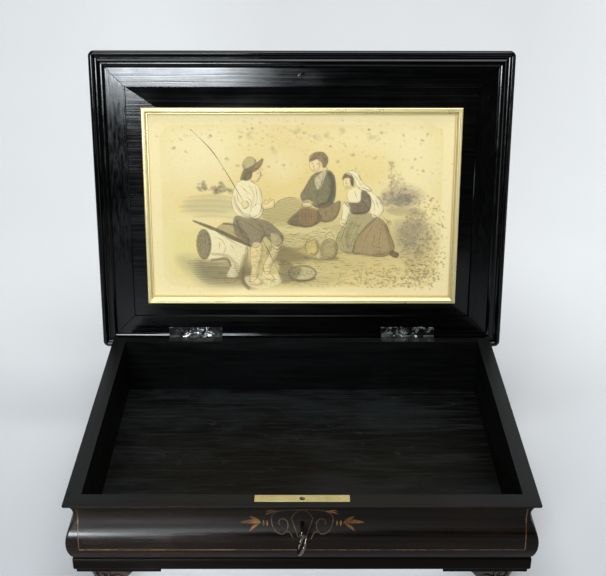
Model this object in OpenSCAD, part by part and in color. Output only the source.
// Wind-up music box: an ebonised casket with a moulded case, a framed print in its lid,
// a mortise lock with its key, carved feet, and a cylinder movement under the floor.
// Millimetres. +X to the right, +Y to the back, +Z up. The case's own frame has its
// origin on the ground under the middle of the rim; place() moves it to the row's origin.

/* [Case] */
// Width of the case at its rim
case_w = 440; // [400:1:480]
// Depth from the front of the rim to the hinge axis
case_d = 315; // [290:1:340]
// Height from the rim to the bottom of the plinth
case_h = 78; // [76:1:90]
// Thickness of the front board
front_t = 18; // [17:0.5:20]
// Thickness of the side boards
side_t = 15; // [13:0.5:17]
// Thickness of the back board
back_t = 10.5; // [10:0.5:12]
// Depth of the tray inside the case
tray_depth = 64.5; // [60:0.5:65]
// Thickness of the floor board
floor_t = 8; // [6:0.5:8]

/* [Feet] */
// Height of the carved feet
foot_h = 46; // [40:1:60]
// Length of a foot along each side of its corner
foot_w = 68; // [60:1:80]
// Thickness of the foot's two faces
foot_t = 17; // [14:1:20]

/* [Lid] */
// How far the lid stands past the rim all round
lid_over = 13.5; // [12:0.5:15]
// Thickness of the lid
lid_t = 21; // [18:0.5:24]
// Angle at which the lid stands open
lid_angle = 100; // [0:1:100]
// Width of the print's gilt frame
gilt_w = 7; // [5:0.5:9]

/* [Movement] */
// Radius of the music cylinder
cyl_r = 6; // [5.5:0.1:6.2]
// Length of the music cylinder
cyl_len = 52; // [40:1:52]
// Number of comb teeth
comb_teeth = 36; // [18:1:40]

/* [Hidden] */
$fn = 48;

// Levels above the ground
pad_h = 4;
plinth_z = foot_h + pad_h;
rim_z = plinth_z + case_h;
floor_z = rim_z - tray_depth;

// The case's own frame puts y = 0 in the middle of the rim's depth
front_y = -case_d / 2;
hinge_y = case_d / 2;
back_gap = 3;
gap = 0.3;

// The moulded face: how far in the hollow goes, how far out the swell comes, and their heights
hollow_in = 7.8;
hollow_z = -16;
hollow_r = 20;
swell_out = 0.8;
swell_z = -46;
swell_r = (pow(hollow_in + swell_out, 2) + pow(hollow_z - swell_z, 2))
    / (2 * (hollow_in + swell_out)) - hollow_r;
swell_foot_z = -60.5;
groove_e = -4.6;
plinth_top = -64;
plinth_back_e = -9;
plinth_e = -3.2;

// Lock, all from the rim: the selvedge plate, the hole for the lid's stud, and the key
plate_len = 88;
plate_w = 10;
plate_t = 2;
hole_depth = 12.2;
hole_r = 2.5;
key_z = rim_z - 24;
key_rest = 22;

// Hinges
hinge_x = 124;
leaf_len = 62;
leaf_w = 11.5;
leaf_t = 1.2;
knuckle_r = 2.2;
pin_r = 1.1;
knuckles = 5;
knuckle_len = leaf_len / knuckles;

// Lid, in distances from the hinge axis (r) and out from the rim plane (t)
lid_w = case_w + 2 * lid_over;
lid_front_r = case_d + lid_over;
lid_rear_r = -lid_over;
rail_w = 34;
step_w = 39;
panel_t = 2.2;
panel_top = 10.2;
top_t = 5;
print_w = 356;
print_h = 226;
print_r = (lid_front_r + lid_rear_r) / 2 - 3.5;

// Sound box under the floor
sb_w = 150;
sb_d = 100;
sb_wall = 6;
sb_h = 25;
cover_t = 5;
sb_y = 0;
sb_top = floor_z - floor_t;
sb_z = sb_top - sb_h;
cover_z = sb_z - cover_t;

// Movement: the bedplate lies on the cover, the barrel stands at the left
bed_t = 3;
bed_z = sb_z + bed_t;
barrel_x = -48;
barrel_y = sb_y;
crown_m = 0.8;
crown_n = 46;
crown_r = crown_m * crown_n / 2;
cyl_pinion_n = 10;
arbor_r = 1;
crown_z = bed_z + 3.7;
axis_z = crown_z + crown_m * cyl_pinion_n / 2;
cyl_x0 = barrel_x + 25;
cyl_x1 = cyl_x0 + cyl_len;
pin_len = 0.7;
fine_m = 0.4;
great_n = 32;
second_n = 10;
worm_wheel_n = 24;
great_x = cyl_x1 + 1;
second_y = barrel_y + fine_m * (great_n + second_n) / 2;
worm_r = 1.2;
worm_pitch = PI * fine_m;
worm_x = great_x + 8;
worm_y = second_y + fine_m * worm_wheel_n / 2 + worm_r;

// The top stands back from the rails' edge. Opened, its front edge is the object's back,
// and the key's bow is its front, which sets the row's origin.
top_inset = 12;
bow_y = front_y - 23.5;
bow_r = 9.3;
bow_wire = 1.6;
back_y = hinge_y - (lid_front_r - top_inset) * cos(lid_angle) + lid_t * sin(lid_angle);
row_y = -(back_y + bow_y - bow_r - bow_wire) / 2;

ebony = [0.05, 0.042, 0.038];
rosewood = [0.13, 0.075, 0.045];
brass = [0.78, 0.62, 0.3];
steel = [0.62, 0.63, 0.65];

module place() translate([0, row_y, 0]) children();

// ---------- helpers ----------

// Points of an arc in a plane, from angle a to angle b in n steps
function arc(cx, cy, r, a, b, n) = [for (i = [0:n]) let (t = a + (b - a) * i / n)
    [cx + r * cos(t), cy + r * sin(t)]];

// A 2D outline given as [outward, up] pairs, run along X between x0 and x1
module run_along_x(x0, x1) translate([x0, 0, 0]) rotate([90, 0, 90])
    linear_extrude(height = x1 - x0) children();

module box(x0, x1, y0, y1, z0, z1) translate([x0, y0, z0]) cube([x1 - x0, y1 - y0, z1 - z0]);

module rod_x(x0, x1, y, z, r) translate([x0, y, z]) rotate([0, 90, 0]) cylinder(h = x1 - x0, r = r);

module rod_z(x, y, z0, z1, r) translate([x, y, z0]) cylinder(h = z1 - z0, r = r);

// An involute gear of 20 degrees as a 2D outline. add and ded are in modules, and
// thin is what each tooth gives up at the pitch line for running clearance.
function inv(a) = tan(a) * 180 / PI - a;
module gear_outline(m, n, add, ded, thin) {
    rp = m * n / 2;
    rb = rp * cos(20);
    ra = rp + add * m;
    rf = rp - ded * m;
    half = 90 / n - thin / rp * 90 / PI + inv(20);
    start = max(rf + 0.05 * m, rb);
    steps = 3;
    function flank(r) = half - inv(acos(min(1, rb / r)));
    radii = [for (i = [0:steps]) start + (ra - start) * i / steps];
    polygon([for (k = [0:n - 1]) each concat(
        [rf * [cos(360 * k / n - flank(start)), sin(360 * k / n - flank(start))]],
        [for (r = radii) r * [cos(360 * k / n - flank(r)), sin(360 * k / n - flank(r))]],
        [for (i = [steps:-1:0]) radii[i] * [cos(360 * k / n + flank(radii[i])),
            sin(360 * k / n + flank(radii[i]))]],
        [rf * [cos(360 * k / n + flank(start)), sin(360 * k / n + flank(start))]])]);
}

// A gear on an arbor along X, turned by spin degrees
module gear_x(x0, x1, y, z, m, n, add, ded, thin, spin) translate([x0, y, z])
    rotate([0, 90, 0]) rotate([0, 0, spin]) linear_extrude(height = x1 - x0)
    gear_outline(m, n, add, ded, thin);

// ---------- case ----------

// The moulded face of the front and sides: [out from the rim's edge, up from the rim]
function hollow_angle(z) = 180 - asin((z - hollow_z) / hollow_r);
function swell_angle(z) = asin((z - swell_z) / swell_r);
join_z = hollow_z + (swell_z - hollow_z) * hollow_r / (hollow_r + swell_r);
lip_z = -1.8;
function moulded_face() = concat(
    arc(-1.2, -1.2, 1.2, 90, 0, 3), [[0, lip_z]],
    arc(hollow_r - hollow_in, hollow_z, hollow_r, hollow_angle(lip_z), hollow_angle(join_z), 9),
    [for (p = arc(swell_out - swell_r, swell_z, swell_r, swell_angle(join_z) - 2,
        swell_angle(swell_foot_z), 9)) p]);

// Depth of the moulded face at a height, for the inlays that are let into it
function face_e(z) = z > join_z
    ? hollow_r - hollow_in - sqrt(pow(hollow_r, 2) - pow(z - hollow_z, 2))
    : swell_out - swell_r + sqrt(pow(swell_r, 2) - pow(z - swell_z, 2));

module board_profile(t) polygon(concat([[-t, 0]], moulded_face(),
    [[groove_e, swell_foot_z - 1], [groove_e, plinth_top], [plinth_back_e, plinth_top],
    [plinth_back_e, -case_h], [-t, -case_h]]));

module plinth_profile() polygon(concat([[plinth_back_e, plinth_top],
    [plinth_e - 1.2, plinth_top], [plinth_e - 1.2, plinth_top - 1.2],
    [plinth_e, plinth_top - 1.8]],
    arc(plinth_e - 2.5, -case_h + 2.5, 2.5, 0, -90, 4), [[plinth_back_e, -case_h]]));

// Children drawn as [out, up] outlines run along the front edge, from x0 to x1
module along_front(x0, x1) translate([0, front_y, rim_z]) mirror([0, 1, 0])
    run_along_x(x0, x1) children();
// The same along the right side, from y0 to y1
module along_right(y0, y1) translate([case_w / 2, y0, rim_z]) rotate([90, 0, 0])
    mirror([0, 0, 1]) linear_extrude(height = y1 - y0) children();

// What a corner's mitre takes from the front (side = 1 right, -1 left), as deep as d
module mitre_block(d) translate([0, 0, -10]) linear_extrude(height = rim_z + 20)
    polygon([[case_w / 2 + 12, front_y - 12], [case_w / 2 - d, front_y + d],
    [case_w / 2 - d, front_y + 60], [case_w / 2 + 12, front_y + 60]]);

module case_front() color(rosewood) difference() {
    along_front(-case_w / 2 - 2, case_w / 2 + 2) board_profile(front_t);
    mitre_block(side_t);
    mirror([1, 0, 0]) mitre_block(side_t);
    lock_mortise();
    front_inlay_groove();
    keyhole_bore();
    keyhole_lozenge(0.8 + 0.05);
}

module side_board() difference() {
    along_right(front_y - 2, hinge_y - back_gap) board_profile(side_t);
    linear_extrude(height = rim_z + 20) polygon([[case_w / 2 + 14, front_y - 14],
        [case_w / 2 - side_t - 2, front_y + side_t + 2],
        [case_w / 2 - side_t - 2, front_y - 14]]);
    side_inlay_groove();
}
module case_right() color(rosewood) side_board();
module case_left() color(rosewood) mirror([1, 0, 0]) side_board();

module case_back() color(ebony) difference() {
    box(-case_w / 2 + side_t, case_w / 2 - side_t, hinge_y - back_gap - back_t,
        hinge_y - back_gap, plinth_z, rim_z);
    at_axis() for (x = [-hinge_x, hinge_x]) hinge_recess(x);
}

module case_floor() color(ebony) difference() {
    box(-case_w / 2 + side_t, case_w / 2 - side_t, front_y + front_t,
        hinge_y - back_gap - back_t, floor_z - floor_t, floor_z);
}

module plinth() color(rosewood) {
    difference() {
        along_front(-case_w / 2, case_w / 2) plinth_profile();
        for (m = [0, 1]) mirror([m, 0, 0]) mitre_block(10);
    }
    for (m = [0, 1]) mirror([m, 0, 0]) difference() {
        along_right(front_y, hinge_y - back_gap) plinth_profile();
        linear_extrude(height = rim_z + 20) polygon([[case_w / 2 + 14, front_y - 14],
            [case_w / 2 - 12, front_y + 12], [case_w / 2 - 12, front_y - 14]]);
    }
}

// ---------- inlays on the case ----------

string_w = 1;
string_t = 0.8;
string_low = -50.4;
string_high = -7;
string_x = case_w / 2 - 12;

// A thin strip of the moulded face between two heights
module face_skin(z0, z1, n = 10) {
    zs = [for (i = [0:n]) z1 + (z0 - z1) * i / n];
    polygon(concat([for (z = zs) [face_e(z), z]],
        [for (i = [n:-1:0]) [face_e(zs[i]) - string_t, zs[i]]]));
}

module front_string() {
    along_front(-string_x, string_x) face_skin(string_low, string_low + string_w, 2);
    for (x = [-string_x, string_x - string_w])
        along_front(x, x + string_w) face_skin(string_low + string_w, string_high);
}
module front_inlay_groove() {
    along_front(-string_x, string_x) groove_skin(string_low, string_low + string_w, 2);
    for (x = [-string_x, string_x - string_w])
        along_front(x, x + string_w) groove_skin(string_low + string_w, string_high);
}
// The same strip with its outer side moved clear of the face, to cut the groove with
module groove_skin(z0, z1, n = 10) {
    zs = [for (i = [0:n]) z1 + (z0 - z1) * i / n];
    polygon(concat([for (z = zs) [face_e(z) + 2, z]],
        [for (i = [n:-1:0]) [face_e(zs[i]) - string_t, zs[i]]]));
}
side_y0 = front_y + 12;
side_y1 = hinge_y - back_gap - 12;
module side_string() {
    along_right(side_y0, side_y1) face_skin(string_low, string_low + string_w, 2);
    for (y = [side_y0, side_y1 - string_w])
        along_right(y, y + string_w) face_skin(string_low + string_w, string_high);
}
module side_inlay_groove() {
    along_right(side_y0, side_y1) groove_skin(string_low, string_low + string_w, 2);
    for (y = [side_y0, side_y1 - string_w])
        along_right(y, y + string_w) groove_skin(string_low + string_w, string_high);
}
module case_stringing() color([0.55, 0.42, 0.24]) {
    front_string();
    side_string();
    mirror([1, 0, 0]) side_string();
}

// The lozenge round the keyhole, a thin plate let into the front
lozenge_w = 19;
lozenge_h = 25;
module keyhole_lozenge(t) translate([0, front_y - face_e(-24), key_z]) rotate([90, 0, 0])
    translate([0, 0, -t]) linear_extrude(height = t + (t > 0.8 ? 12 : 0))
    polygon([[0, lozenge_h * 0.4], [lozenge_w / 2, 2], [lozenge_w * 0.3, -lozenge_h * 0.35],
    [0, -lozenge_h * 0.5], [-lozenge_w * 0.3, -lozenge_h * 0.35], [-lozenge_w / 2, 2]]);
module keyhole_bore() {
    translate([0, front_y - 3, key_z]) rotate([-90, 0, 0]) cylinder(h = 12, r = 2.1);
    box(-0.9, 0.9, front_y - 3, front_y + 8, key_z - 8.2, key_z);
}
module keyhole_inlay() color([0.5, 0.38, 0.2]) difference() {
    keyhole_lozenge(0.8);
    keyhole_bore();
}

// ---------- lock ----------

lock_y = front_y + hole_depth;
lock_case_w = 72;
lock_case_h = 42;
lock_case_t = 7;
lock_wall = 1.2;
module lock_mortise() {
    box(-plate_len / 2, plate_len / 2, lock_y - plate_w / 2, lock_y + plate_w / 2,
        rim_z - plate_t, rim_z + 1);
    box(-lock_case_w / 2, lock_case_w / 2, lock_y - lock_case_t / 2, lock_y + lock_case_t / 2,
        rim_z - plate_t - lock_case_h, rim_z);
}
module lock_plate() color(brass) difference() {
    box(-plate_len / 2, plate_len / 2, lock_y - plate_w / 2, lock_y + plate_w / 2,
        rim_z - plate_t, rim_z);
    rod_z(0, lock_y, rim_z - plate_t - 1, rim_z + 1, hole_r);
}
// A sheet box open at the top, closed there by the selvedge
module lock_case() color(steel) difference() {
    box(-lock_case_w / 2, lock_case_w / 2, lock_y - lock_case_t / 2, lock_y + lock_case_t / 2,
        rim_z - plate_t - lock_case_h, rim_z - plate_t);
    box(-lock_case_w / 2 + lock_wall, lock_case_w / 2 - lock_wall,
        lock_y - lock_case_t / 2 + lock_wall, lock_y + lock_case_t / 2 - lock_wall,
        rim_z - plate_t - lock_case_h + lock_wall, rim_z);
    translate([0, lock_y - 10, key_z]) rotate([-90, 0, 0]) cylinder(h = 8, r = 2.1);
    box(-0.9, 0.9, lock_y - 10, lock_y - 2, key_z - 8.2, key_z);
}
// The bolt: a plate behind the key's bit with two talons, and a finger for the stud
bolt_y = lock_y + 0.7;
bolt_t = 1.4;
bolt_top = 9;
finger_h = 2.2;
finger_z = rim_z - 7.2;
module lock_bolt() color(brass) union() {
    box(-20, 20, bolt_y, bolt_y + bolt_t, key_z - 8, key_z + bolt_top);
    box(-12, -8, bolt_y, bolt_y + bolt_t, key_z + bolt_top, finger_z + finger_h);
    box(-12, -3.4, lock_y - 1.1, lock_y + 1.1, finger_z, finger_z + finger_h);
    for (x = [-5, 5]) translate([x, bolt_y - 2, key_z - 5.5]) rotate([-90, 0, 0])
        cylinder(h = 2.1, r = 0.8);
}

// The key: shank, collar, bit and a ring for its bow
shank_r = 1.7;
shank_y0 = bow_y + bow_r + bow_wire - 0.5;
shank_y1 = lock_y + 0.4;
module lock_key() color(steel) translate([0, 0, key_z]) rotate([0, key_rest, 0]) {
    translate([0, shank_y0, 0]) rotate([-90, 0, 0]) cylinder(h = shank_y1 - shank_y0, r = shank_r);
    translate([0, shank_y0, 0]) rotate([-90, 0, 0]) cylinder(h = 2.2, r = 3);
    box(-0.7, 0.7, lock_y - 2.1, lock_y + 0.4, -6.8, 0);
    translate([0, bow_y, 0]) rotate([0, 90, 0])
        rotate_extrude() translate([bow_r, 0]) circle(r = bow_wire, $fn = 24);
}

// ---------- hinges ----------

// Where knuckle k of a hinge at x starts and ends
function knuckle_x0(x, k) = x - leaf_len / 2 + k * knuckle_len + 0.15;
function knuckle_x1(x, k) = x - leaf_len / 2 + (k + 1) * knuckle_len - 0.15;

module at_axis() translate([0, hinge_y, rim_z]) children();

screw_xs = [-22, 0, 22];
leaf_screw_y = 7;
leaf_screw_r = 0.8;
leaf_screw_l = 7;
// What a leaf and its screws take out of the wood under it
module hinge_recess(x) {
    box(x - leaf_len / 2, x + leaf_len / 2, -leaf_w, 1, -leaf_t, 1);
    rod_x(x - leaf_len / 2, x + leaf_len / 2, 0, 0, knuckle_r + 0.3);
    for (dx = screw_xs) rod_z(x + dx, -leaf_screw_y, -leaf_screw_l, 0, leaf_screw_r);
}
// One leaf in the closed position; s = 1 for the case's leaf below the axis, -1 for the lid's
module leaf(x, odd) difference() {
    union() {
        box(x - leaf_len / 2, x + leaf_len / 2, -leaf_w, 0, -leaf_t, -0.1);
        for (k = [odd:2:knuckles - 1]) rod_x(knuckle_x0(x, k), knuckle_x1(x, k), 0, 0, knuckle_r);
    }
    for (k = [1 - odd:2:knuckles - 1])
        rod_x(knuckle_x0(x, k) - 0.3, knuckle_x1(x, k) + 0.3, 0, 0, knuckle_r + 0.25);
    rod_x(x - leaf_len, x + leaf_len, 0, 0, pin_r + 0.05);
    for (dx = screw_xs) rod_z(x + dx, -leaf_screw_y, -3, 1, 1.9);
}
module case_leaf(x) at_axis() leaf(x, 0);
module lid_leaf(x) lid_frame() mirror([0, 0, 1]) leaf(x, 1);
module hinge_left_case_leaf() color(steel) case_leaf(-hinge_x);
module hinge_right_case_leaf() color(steel) case_leaf(hinge_x);
module hinge_left_lid_leaf() color(steel) lid_leaf(-hinge_x);
module hinge_right_lid_leaf() color(steel) lid_leaf(hinge_x);
module hinge_pins() color(steel) at_axis() for (x = [-hinge_x, hinge_x])
    rod_x(x - leaf_len / 2, x + leaf_len / 2, 0, 0, pin_r);

module leaf_screws() for (x = [-hinge_x, hinge_x], dx = screw_xs)
    translate([x + dx, -leaf_screw_y, -leaf_t]) difference() {
        union() {
            cylinder(h = 1, r = 1.8);
            translate([0, 0, leaf_t - leaf_screw_l]) cylinder(h = leaf_screw_l - 1, r = leaf_screw_r);
        }
        translate([-2, -0.25, 0.6]) cube([4, 0.5, 1]);
    }
module hinge_case_screws() color(steel) at_axis() leaf_screws();
module hinge_lid_screws() color(steel) lid_frame() mirror([0, 0, 1]) leaf_screws();

// ---------- lid ----------

// Children drawn closed, with y = 0 on the hinge axis and z = 0 on the rim, and opened
module lid_frame() translate([0, hinge_y, rim_z]) rotate([-lid_angle, 0, 0]) children();

bead_r = 3.2;
bead_t = 4.2;
// The rail's section: u in from the lid's edge, t out from the rim plane
module rail_profile() polygon(concat(
    [[step_w, panel_t], [step_w, gap / 2], [18, gap / 2]],
    arc(13.3, 8.6, 8, -56, -124, 6),
    [[8, 3.4], [6.6, 3.4]],
    arc(bead_r, bead_t, bead_r, -14, -180, 8),
    arc(bead_r, bead_t, bead_r, 180, 90, 4),
    [[bead_r, 8.6]], arc(bead_r + 9.5, 8.6, 8.5, 180, 98, 6),
    [[top_inset, lid_t - top_t], [rail_w - 14, lid_t - top_t], [rail_w - 14, panel_top],
    [step_w, panel_top]]));

// A rail along X whose outer edge is at y = edge, facing -Y, cut at 45 degrees
module rail(length, edge) difference() {
    translate([0, edge, 0]) run_along_x(-length / 2, length / 2) rail_profile();
    for (m = [0, 1]) mirror([m, 0, 0]) translate([length / 2, edge, -5])
        linear_extrude(height = lid_t + 10) polygon([[1, -1], [1, 61], [-61, 61]]);
}
module lid_front_rail() color(rosewood) lid_frame() difference() {
    rail(lid_w, -lid_front_r);
    translate([0, -case_d + hole_depth, -1]) cylinder(h = 3, r = 5.05);
    rod_z(0, -case_d + hole_depth, -1, 8, 1.5);
}
module lid_rear_rail() color(rosewood) lid_frame() difference() {
    mirror([0, 1, 0]) rail(lid_w, lid_rear_r);
    mirror([0, 0, 1]) for (x = [-hinge_x, hinge_x]) hinge_recess(x);
}
module side_rail() lid_frame() translate([0, -(lid_front_r + lid_rear_r) / 2, 0])
    rotate([0, 0, 90]) rail(lid_front_r - lid_rear_r, -lid_w / 2);
module lid_right_rail() color(rosewood) side_rail();
module lid_left_rail() color(rosewood) lid_frame()
    translate([0, -(lid_front_r + lid_rear_r) / 2, 0])
    rotate([0, 0, -90]) rail(lid_front_r - lid_rear_r, -lid_w / 2);

lid_mid_y = -(lid_front_r + lid_rear_r) / 2;
lid_h = lid_front_r - lid_rear_r;
// The top: a flat board with the inlay let into it
module lid_top_panel() color(ebony) lid_frame() translate([0, lid_mid_y, 0]) difference() {
    box(-lid_w / 2 + top_inset, lid_w / 2 - top_inset,
        -lid_h / 2 + top_inset, lid_h / 2 - top_inset, lid_t - top_t, lid_t);
    translate([0, 0, lid_t - 0.8]) lid_inlay_shape(1);
}
module lid_inner_panel() color(ebony) lid_frame() translate([0, lid_mid_y, 0])
    box(-lid_w / 2 + step_w, lid_w / 2 - step_w, -lid_h / 2 + step_w, lid_h / 2 - step_w,
        panel_t, panel_top);
// A double line round the top and a cartouche in its middle
module lid_inlay_shape(h) linear_extrude(height = h) {
    for (inset = [26, 31]) difference() {
        square([lid_w - 2 * inset, lid_h - 2 * inset], center = true);
        square([lid_w - 2 * inset - 2.4, lid_h - 2 * inset - 2.4], center = true);
    }
    difference() {
        union() {
            intersection() {
                translate([0, -60]) circle(r = 92, $fn = 96);
                translate([0, 60]) circle(r = 92, $fn = 96);
            }
            for (x = [-1, 1]) translate([x * 70, 0]) circle(r = 10);
        }
        intersection() {
            translate([0, -60]) circle(r = 89.5, $fn = 96);
            translate([0, 60]) circle(r = 89.5, $fn = 96);
        }
        for (x = [-1, 1]) translate([x * 70, 0]) circle(r = 7.5);
    }
    for (a = [0:60:300]) rotate(a) translate([11, 0]) circle(r = 5);
    circle(r = 4);
}
module lid_inlay() color(brass) lid_frame() translate([0, lid_mid_y, lid_t - 0.8])
    lid_inlay_shape(0.8);

// The picture: paper glued to the panel inside a mitred gilt slip
module print() color([0.86, 0.78, 0.55]) lid_frame() translate([0, -print_r, panel_t - 0.3])
    translate([-print_w / 2 + 3, -print_h / 2 + 3, 0]) cube([print_w - 6, print_h - 6, 0.3]);
module gilt_profile() polygon([[0, panel_t], [0, -1.2], [1, -2], [2.6, -2.2], [4.4, -1.4],
    [gilt_w, 0.6], [gilt_w, panel_t - 0.35], [2.95, panel_t - 0.35], [2.95, panel_t]]);
module gilt_side(length, half) difference() {
    translate([0, -half, 0]) run_along_x(-length / 2, length / 2) gilt_profile();
    for (m = [0, 1]) mirror([m, 0, 0]) translate([length / 2, -half, -5])
        linear_extrude(height = 12) polygon([[1, -1], [1, 31], [-31, 31]]);
}
module gilt_frame() color([0.83, 0.7, 0.36]) lid_frame() translate([0, -print_r, 0]) {
    gilt_side(print_w, print_h / 2);
    rotate([0, 0, 180]) gilt_side(print_w, print_h / 2);
    for (a = [90, 270]) rotate([0, 0, a]) gilt_side(print_h, print_w / 2);
}

// The stud on the lid's front rail, with the slot that the bolt's finger enters
module lock_stud() color(steel) lid_frame() translate([0, -case_d + hole_depth, 0])
    difference() {
        union() {
            translate([0, 0, gap / 2]) cylinder(h = 1.2, r = 5);
            translate([0, 0, -8.6]) cylinder(h = 8.9, r = 1.9);
            translate([0, 0, 0.5]) cylinder(h = 6.5, r = 1.4);
        }
        box(-3, 3, -1.3, 1.3, -7.7, -4.3);
    }

// ---------- plinth pads and feet ----------

pad_in = 5.8;
// The right front corner's pad; the others are its mirrors
module corner_pad() translate([case_w / 2 - pad_in, front_y + pad_in, foot_h])
    linear_extrude(height = pad_h) polygon([[0, 0], [0, foot_w + 12], [-foot_t - 10, foot_w + 12],
    [-foot_t - 10, foot_t + 10], [-foot_w - 12, foot_t + 10], [-foot_w - 12, 0]]);
module four_corners() for (mx = [0, 1], my = [0, 1])
    mirror([mx, 0, 0]) mirror([0, my, 0]) children();
module corner_pads() color(rosewood) translate([0, -back_gap / 2, 0]) intersection() {
    four_corners() translate([0, back_gap / 2, 0]) corner_pad();
    box(-case_w, case_w, -case_d, case_d, 0, plinth_z);
}

foot_in = 14.8;
// A bracket foot's face: u in from its outer corner, z up from the ground
module foot_face() difference() {
    polygon(concat(
        [[0, foot_h], [0, foot_h - 10]],
        arc(-8, foot_h - 20, 12.8, 51, -51, 5),
        [[2, 12], [0, 8], [0, 0], [22, 0]],
        arc(22, 6, 6, -90, 90, 6),
        arc(26, 23, 11, 245, 110, 6),
        arc(40, foot_h - 12, 7, 215, 30, 6),
        [[foot_w, foot_h - 7], [foot_w, foot_h]]));
    translate([31, foot_h - 10]) circle(r = 3);
}
// The right front foot: one face along the front and one along the side, in one block
module corner_foot() translate([case_w / 2 - foot_in, front_y + foot_in, 0]) {
    intersection() {
        union() {
            mirror([1, 0, 0]) rotate([90, 0, 0]) mirror([0, 0, 1])
                linear_extrude(height = foot_t) foot_face();
            mirror([1, 0, 0]) rotate([90, 0, 90]) linear_extrude(height = foot_t) foot_face();
        }
        box(-foot_w, 0, 0, foot_w, 0, foot_h);
    }
}
module foot_front_right() color(rosewood) corner_foot();
module foot_front_left() color(rosewood) mirror([1, 0, 0]) corner_foot();
module foot_rear_right() color(rosewood) translate([0, -back_gap, 0]) mirror([0, 1, 0])
    corner_foot();
module foot_rear_left() color(rosewood) translate([0, -back_gap, 0]) mirror([0, 1, 0])
    mirror([1, 0, 0]) corner_foot();

// ---------- sound box ----------

module sound_box_frame() color(ebony) difference() {
    box(-sb_w / 2, sb_w / 2, sb_y - sb_d / 2, sb_y + sb_d / 2, sb_z, sb_top);
    box(-sb_w / 2 + sb_wall, sb_w / 2 - sb_wall, sb_y - sb_d / 2 + sb_wall,
        sb_y + sb_d / 2 - sb_wall, sb_z - 1, sb_top + 1);
    box(sb_w / 2 - sb_wall - 1, sb_w / 2 + 1, stop_y - 7, stop_y + 7, stop_z - 1.2, stop_z + 2.4);
}
module sound_box_cover() color(ebony) difference() {
    box(-sb_w / 2, sb_w / 2, sb_y - sb_d / 2, sb_y + sb_d / 2, cover_z, sb_z);
    rod_z(barrel_x, barrel_y, cover_z - 1, sb_z + 1, 3.4);
    for (x = cover_screw_x, y = cover_screw_y) rod_z(x, y, cover_z - 1, sb_z + 1, 1.5);
}
cover_screw_x = [-sb_w / 2 + 3, 0, sb_w / 2 - 3];
cover_screw_y = [sb_y - sb_d / 2 + 3, sb_y + sb_d / 2 - 3];
module cover_screws() color(brass) for (x = cover_screw_x, y = cover_screw_y)
    translate([x, y, cover_z]) difference() {
        union() {
            translate([0, 0, -1.4]) cylinder(h = 1.4, r = 2.8);
            cylinder(h = cover_t, r = 1.45);
        }
        box(-3, 3, -0.35, 0.35, -1.8, -0.7);
    }

// ---------- movement: fixed parts ----------

bed_x0 = -70 + 2;
bed_x1 = 66;
bed_y0 = sb_y - 42;
bed_y1 = sb_y + 36;
bed_screw_at = [[bed_x0 + 4, bed_y0 + 4], [bed_x0 + 4, bed_y1 - 4],
    [bed_x1 - 4, bed_y0 + 4], [bed_x1 - 4, bed_y1 - 4]];
module bedplate() color(brass) {
    difference() {
        box(bed_x0, bed_x1, bed_y0, bed_y1, sb_z, bed_z);
        rod_z(barrel_x, barrel_y, sb_z - 1, bed_z + 1, 2.55);
        for (p = bed_screw_at) rod_z(p[0], p[1], sb_z - 1, bed_z + 1, 1.3);
    }
    stop_pillar();
}
module bedplate_screws() color(steel) for (p = bed_screw_at) translate([p[0], p[1], bed_z]) {
    difference() {
        cylinder(h = 1.2, r = 2.4);
        box(-3, 3, -0.3, 0.3, 0.6, 2);
    }
    translate([0, 0, -bed_t]) cylinder(h = bed_t, r = 1.25);
}

bridge_z = bed_z + 17.5;
bridge_t = 2;
bridge_y = 24;
module barrel_bridge() color(brass) translate([barrel_x, barrel_y, 0]) difference() {
    union() {
        box(-6, 6, -bridge_y - 3, bridge_y + 3, bridge_z, bridge_z + bridge_t);
        translate([0, 0, bridge_z]) cylinder(h = bridge_t, r = 13.5);
        for (y = [-bridge_y, bridge_y]) box(-4, 4, y - 3, y + 3, bed_z, bridge_z);
    }
    rod_z(0, 0, bridge_z - 1, bridge_z + 3, 2.05);
}

cock_t = 3;
left_cock_x = barrel_x + 21;
right_cock_x = great_x + 2.6;
module cock(x) difference() {
    union() {
        rod_x(x, x + cock_t, barrel_y, axis_z, 4);
        box(x, x + cock_t, barrel_y - 4, barrel_y + 4, bed_z, axis_z);
    }
    rod_x(x - 1, x + cock_t + 1, barrel_y, axis_z, arbor_r + 0.05);
}
// The left cock carries the cylinder's arbor, and the right one the governor wheel's too
module cylinder_cocks() color(brass) {
    cock(left_cock_x);
    difference() {
        union() {
            cock(right_cock_x);
            box(right_cock_x, right_cock_x + cock_t, barrel_y + 3, second_y + 3,
                bed_z, axis_z + 3);
        }
        rod_x(right_cock_x - 1, right_cock_x + cock_t + 1, second_y, axis_z, 0.65);
        rod_x(right_cock_x - 1, right_cock_x + cock_t + 1, barrel_y, axis_z, arbor_r + 0.05);
    }
}

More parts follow.
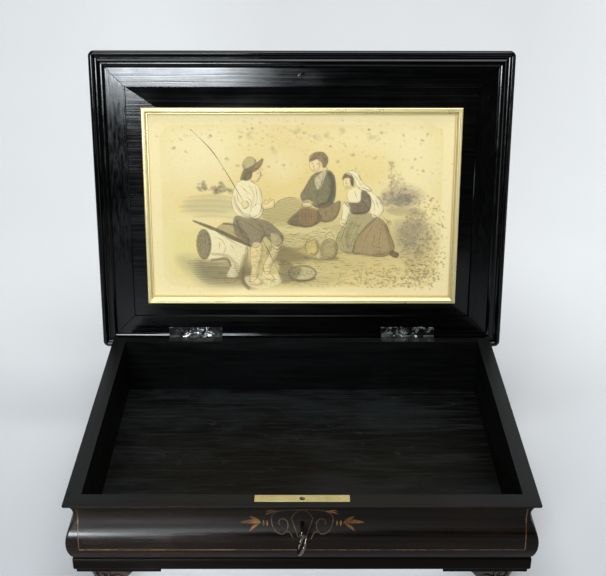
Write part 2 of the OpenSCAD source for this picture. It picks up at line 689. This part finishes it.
comb_y1 = barrel_y - cyl_r - pin_len - 0.15;
comb_root = comb_y1 - 22;
comb_y0 = comb_root - 12;
comb_z = axis_z - 0.6;
comb_t = 1.2;
comb_screw_x = [cyl_x0 + 8, (cyl_x0 + cyl_x1) / 2, cyl_x1 - 8];
module comb_base() color(brass) difference() {
    box(cyl_x0, cyl_x1, comb_y0, comb_root - 1, bed_z, comb_z);
    for (x = comb_screw_x) rod_z(x, comb_y0 + 5.5, comb_z - 5, comb_z + 1, 1.25);
}
tooth_pitch = cyl_len / comb_teeth;
module comb() color(steel) difference() {
    box(cyl_x0, cyl_x1, comb_y0, comb_y1, comb_z, comb_z + comb_t);
    for (i = [1:comb_teeth - 1]) box(cyl_x0 + i * tooth_pitch - 0.2, cyl_x0 + i * tooth_pitch + 0.2,
        comb_root + 3 * i / comb_teeth, comb_y1 + 1, comb_z - 1, comb_z + comb_t + 1);
    for (x = comb_screw_x) rod_z(x, comb_y0 + 5.5, comb_z - 1, comb_z + 3, 1.35);
}
module comb_screws() color(steel) for (x = comb_screw_x)
    translate([x, comb_y0 + 5.5, comb_z + comb_t]) {
        difference() {
            cylinder(h = 1.3, r = 2.6);
            box(-3, 3, -0.3, 0.3, 0.7, 2);
        }
        translate([0, 0, -5.5]) cylinder(h = 5.5, r = 1.2);
    }

// The governor's frame: a cheek for the second arbor, a foot and an arm for the fly
arm_z = bed_z + 18.2;
module governor_frame() color(brass) difference() {
    union() {
        box(worm_x + 3, worm_x + 5, second_y - 4, second_y + 4, bed_z, axis_z + 3);
        box(worm_x - 4, worm_x + 5, worm_y - 3, worm_y + 12, bed_z, bed_z + 1.6);
        box(worm_x - 3, worm_x + 3, worm_y + 9, worm_y + 12, bed_z + 1.6, arm_z);
        box(worm_x - 2.5, worm_x + 2.5, worm_y - 3, worm_y + 12, arm_z, arm_z + 1.6);
    }
    rod_x(worm_x + 2, worm_x + 6, second_y, axis_z, 0.65);
    rod_z(worm_x, worm_y, bed_z + 0.4, bed_z + 3, 0.55);
    rod_z(worm_x, worm_y, arm_z - 1, arm_z + 3, 0.55);
}

// ---------- movement: winding ----------

barrel_z = bed_z + 0.8;
can_r = 15;
can_top = bridge_z - 1.2;
module winding_arbor() color(steel) translate([barrel_x, barrel_y, 0]) {
    rod_z(0, 0, cover_z - 6, barrel_z + 3.2, 2.5);
    rod_z(0, 0, barrel_z + 3.2, can_top - 2.4, 3.2);
    rod_z(0, 0, can_top - 2.4, bridge_z + bridge_t + 0.2, 2);
    translate([-1.3, -1.3, bridge_z + bridge_t + 0.2]) cube([2.6, 2.6, 1.5]);
}
ratchet_n = 12;
ratchet_r = 7;
ratchet_z = bridge_z + bridge_t + 0.2;
tooth_fall = 1.6;
module ratchet_wheel() color(steel) translate([barrel_x, barrel_y, ratchet_z]) difference() {
    linear_extrude(height = 1.2) polygon([for (k = [0:ratchet_n - 1]) let (a = 360 * k / ratchet_n)
        each [(ratchet_r - tooth_fall) * [cos(a - 3), sin(a - 3)], ratchet_r * [cos(a), sin(a)]]]);
    translate([-1.32, -1.32, -1]) cube([2.64, 2.64, 4]);
}
// The click stands against the tooth at 90 degrees and pivots on the bridge
click_x = 8.2;
click_y = 7.6;
module click() color(steel) translate([barrel_x + click_x, barrel_y + click_y, ratchet_z])
    difference() {
        union() {
            cylinder(h = 1.2, r = 1.9);
            linear_extrude(height = 1.2)
                polygon([[0.6, 1.8], [-7.7, -0.7], [-7.75, -1.95], [-4.2, -0.9], [0, -1.8]]);
        }
        rod_z(0, 0, -1, 3, 0.85);
    }
click_spring_r = 9.9;
module click_spring() color(steel) translate([barrel_x, barrel_y, 0]) {
    rod_z(click_x, click_y, bridge_z + bridge_t, ratchet_z + 1.2, 0.8);
    rod_z(click_x, click_y, ratchet_z + 1.2, ratchet_z + 1.7, 1.6);
    translate([0, 0, ratchet_z]) linear_extrude(height = 1.2) polygon(concat(
        arc(0, 0, click_spring_r + 0.4, 70, 150, 8), arc(0, 0, click_spring_r, 150, 70, 8)));
    rotate(150) rod_z(click_spring_r + 0.2, 0, bridge_z + bridge_t, ratchet_z + 1.2, 0.7);
}
module winding_key() color(brass) translate([barrel_x, barrel_y, cover_z]) difference() {
    union() {
        translate([0, 0, -9]) cylinder(h = 8, r = 4.2);
        translate([-12, -1, -17]) cube([24, 2, 8.6]);
        for (x = [-12, 12]) translate([x, 1, -13]) rotate([90, 0, 0]) cylinder(h = 2, r = 4.6);
    }
    translate([0, 0, -6]) cylinder(h = 8, r = 2.52);
    for (x = [-11.5, 11.5]) translate([x, 3, -13]) rotate([90, 0, 0]) cylinder(h = 6, r = 2.2);
}

// The barrel: a can on a flange whose rim carries the crown teeth
crown_tooth_in = crown_r - 1;
crown_tooth_out = crown_r + 1;
module crown_tooth() rotate([90, 0, 90]) translate([0, 0, crown_tooth_in])
    linear_extrude(height = 2) polygon([[-0.68, -1.7], [-0.42, 0], [-0.24, 0.44],
    [0.24, 0.44], [0.42, 0], [0.68, -1.7]]);
module spring_barrel() color(brass) translate([barrel_x, barrel_y, 0]) {
    difference() {
        union() {
            rod_z(0, 0, barrel_z, barrel_z + 1.5, crown_tooth_out + 0.2);
            rod_z(0, 0, barrel_z, can_top, can_r);
            for (k = [0:crown_n - 1]) rotate([0, 0, 360 * k / crown_n])
                translate([0, 0, crown_z]) crown_tooth();
        }
        rod_z(0, 0, barrel_z - 1, barrel_z + 2, 2.55);
        rod_z(0, 0, barrel_z + 1.2, can_top - 1.2, can_r - 1);
        rod_z(0, 0, can_top - 2, can_top + 1, 2.05);
    }
}
// The mainspring: a flat strip coiled between the arbor's core and the can's wall
spring_turns = 6;
spring_steps = 20;
spring_t = 0.4;
spring_points = spring_turns * spring_steps;
spring_core = 4;
function coil_point(i, out) = let (a = 360 * i / spring_steps)
    (spring_core + out + (can_r - 1 - spring_t - spring_core) * i / spring_points)
    * [cos(a), sin(a)];
module mainspring() color([0.3, 0.33, 0.4]) translate([barrel_x, barrel_y, barrel_z + 1.2])
    linear_extrude(height = can_top - barrel_z - 3) polygon(concat(
        [for (i = [0:spring_points]) coil_point(i, 0)],
        [for (i = [spring_points:-1:0]) coil_point(i, spring_t)]));

// ---------- movement: cylinder, governor, stop ----------

module music_cylinder() color(brass) difference() {
    rod_x(cyl_x0, cyl_x1, barrel_y, axis_z, cyl_r);
    rod_x(cyl_x0 + 1.2, cyl_x1 - 1.2, barrel_y, axis_z, cyl_r - 0.8);
    rod_x(cyl_x0 - 1, cyl_x1 + 1, barrel_y, axis_z, arbor_r);
}

// The tune: a few pins for each tooth of the comb, scattered by a fixed rule
pins_each = 3;
function pin_turn(i, j) = (i * 97 + j * 131 + 17 * i * j) % 331 + 14;
module cylinder_pins() color(steel) for (i = [0:comb_teeth - 1], j = [0:pins_each - 1])
    translate([cyl_x0 + (i + 0.5) * tooth_pitch, barrel_y, axis_z])
    rotate([pin_turn(i, j) + 90, 0, 0])
    translate([0, 0, cyl_r - 0.05]) cylinder(h = pin_len + 0.05, r = 0.2, $fn = 8);

module cylinder_arbor() color(steel) difference() {
    union() {
        rod_x(barrel_x + 16.6, right_cock_x + cock_t + 0.6, barrel_y, axis_z, arbor_r);
        gear_x(barrel_x + crown_r - 1, barrel_x + crown_r + 1, barrel_y, axis_z,
            crown_m, cyl_pinion_n, 1, 1.2, 0.12, 180 / cyl_pinion_n);
    }
}
module great_wheel() color(brass) difference() {
    gear_x(great_x, great_x + 1.4, barrel_y, axis_z, fine_m, great_n, 1, 1.25, 0.06, 0);
    rod_x(great_x - 1, great_x + 3, barrel_y, axis_z, arbor_r);
}

module governor_wheel() color(brass) {
    rod_x(great_x - 0.4, worm_x + 5.2, second_y, axis_z, 0.6);
    gear_x(great_x, great_x + 1.4, second_y, axis_z, fine_m, second_n, 1, 1.25, 0.06, 0);
    gear_x(worm_x - 0.5, worm_x + 0.5, second_y, axis_z, fine_m, worm_wheel_n, 1, 1.25, 0.1, 0);
}

// The endless screw: a right-handed thread on a vertical spindle, with a gap where the
// wheel's tooth stands
thread_turns = 4.5;
thread_out = worm_r + fine_m * 0.9;
thread_in = worm_r - fine_m * 1.2;
crest_angle = 37;
root_angle = 97;
function thread_radius(a) = let (off = min(a, 360 - a)) off < crest_angle ? thread_out
    : off > root_angle ? thread_in
    : thread_out + (thread_in - thread_out) * (off - crest_angle) / (root_angle - crest_angle);
module thread() translate([0, 0, -worm_pitch * thread_turns / 2])
    linear_extrude(height = worm_pitch * thread_turns, twist = -360 * thread_turns,
        slices = thread_turns * 12)
    polygon([for (a = [0:30:330]) thread_radius(a) * [cos(a), sin(a)]]);
module fly_screw() color(steel) translate([worm_x, worm_y, 0]) {
    spindle_z = axis_z + worm_pitch * thread_turns / 2;
    rod_z(0, 0, bed_z + 0.4, spindle_z - worm_pitch * thread_turns, 0.5);
    translate([0, 0, axis_z]) thread();
    rod_z(0, 0, spindle_z, arm_z + 1.2, 0.5);
}
wing_z = axis_z + 5.6;
wing_r = 7;
module fly_wings() color(brass) translate([worm_x, worm_y, 0]) difference() {
    union() {
        rod_z(0, 0, wing_z, arm_z - 0.6, 1.6);
        for (a = [0, 90]) rotate(a) box(-wing_r, wing_r, -0.3, 0.3, wing_z, arm_z - 0.8);
    }
    rod_z(0, 0, wing_z - 1, arm_z + 1, 0.5);
}

// The stop lever swings on a pillar of the bedplate, and its tip stands in the fly's way
stop_x = 58;
stop_y = worm_y - wing_r - 4;
stop_z = bed_z + 14.6;
stop_arm = stop_x - worm_x;
module stop_pillar() {
    rod_z(stop_x, stop_y, bed_z - 1, stop_z, 1.8);
    rod_z(stop_x, stop_y, stop_z - 0.1, stop_z + 2, 0.8);
}
module stop_lever() color(brass) translate([stop_x, stop_y, stop_z]) difference() {
    union() {
        cylinder(h = 1.2, r = 2.6);
        box(-stop_arm, 0, -0.9, 0.9, 0, 1.2);
        box(0, sb_w / 2 + 10 - stop_x, -1.2, 1.2, 0, 1.2);
        translate([sb_w / 2 + 10 - stop_x, 0, -2]) cylinder(h = 5, r = 3);
    }
    rod_z(0, 0, -1, 3, 0.86);
}

place() case_front();
place() case_back();
place() case_left();
place() case_right();
place() case_floor();
place() plinth();
place() corner_pads();
place() foot_front_left();
place() foot_front_right();
place() foot_rear_left();
place() foot_rear_right();
place() case_stringing();
place() keyhole_inlay();
place() lock_plate();
place() lock_case();
place() lock_bolt();
place() lock_key();
place() hinge_left_case_leaf();
place() hinge_right_case_leaf();
place() hinge_pins();
place() hinge_left_lid_leaf();
place() hinge_right_lid_leaf();
place() hinge_case_screws();
place() hinge_lid_screws();
place() lid_front_rail();
place() lid_rear_rail();
place() lid_left_rail();
place() lid_right_rail();
place() lid_top_panel();
place() lid_inner_panel();
place() lid_inlay();
place() print();
place() gilt_frame();
place() lock_stud();
place() sound_box_frame();
place() sound_box_cover();
place() cover_screws();
place() bedplate();
place() bedplate_screws();
place() barrel_bridge();
place() cylinder_cocks();
place() comb_base();
place() comb();
place() comb_screws();
place() governor_frame();
place() winding_arbor();
place() ratchet_wheel();
place() winding_key();
place() click();
place() click_spring();
place() spring_barrel();
place() mainspring();
place() music_cylinder();
place() cylinder_pins();
place() cylinder_arbor();
place() great_wheel();
place() governor_wheel();
place() fly_screw();
place() fly_wings();
place() stop_lever();
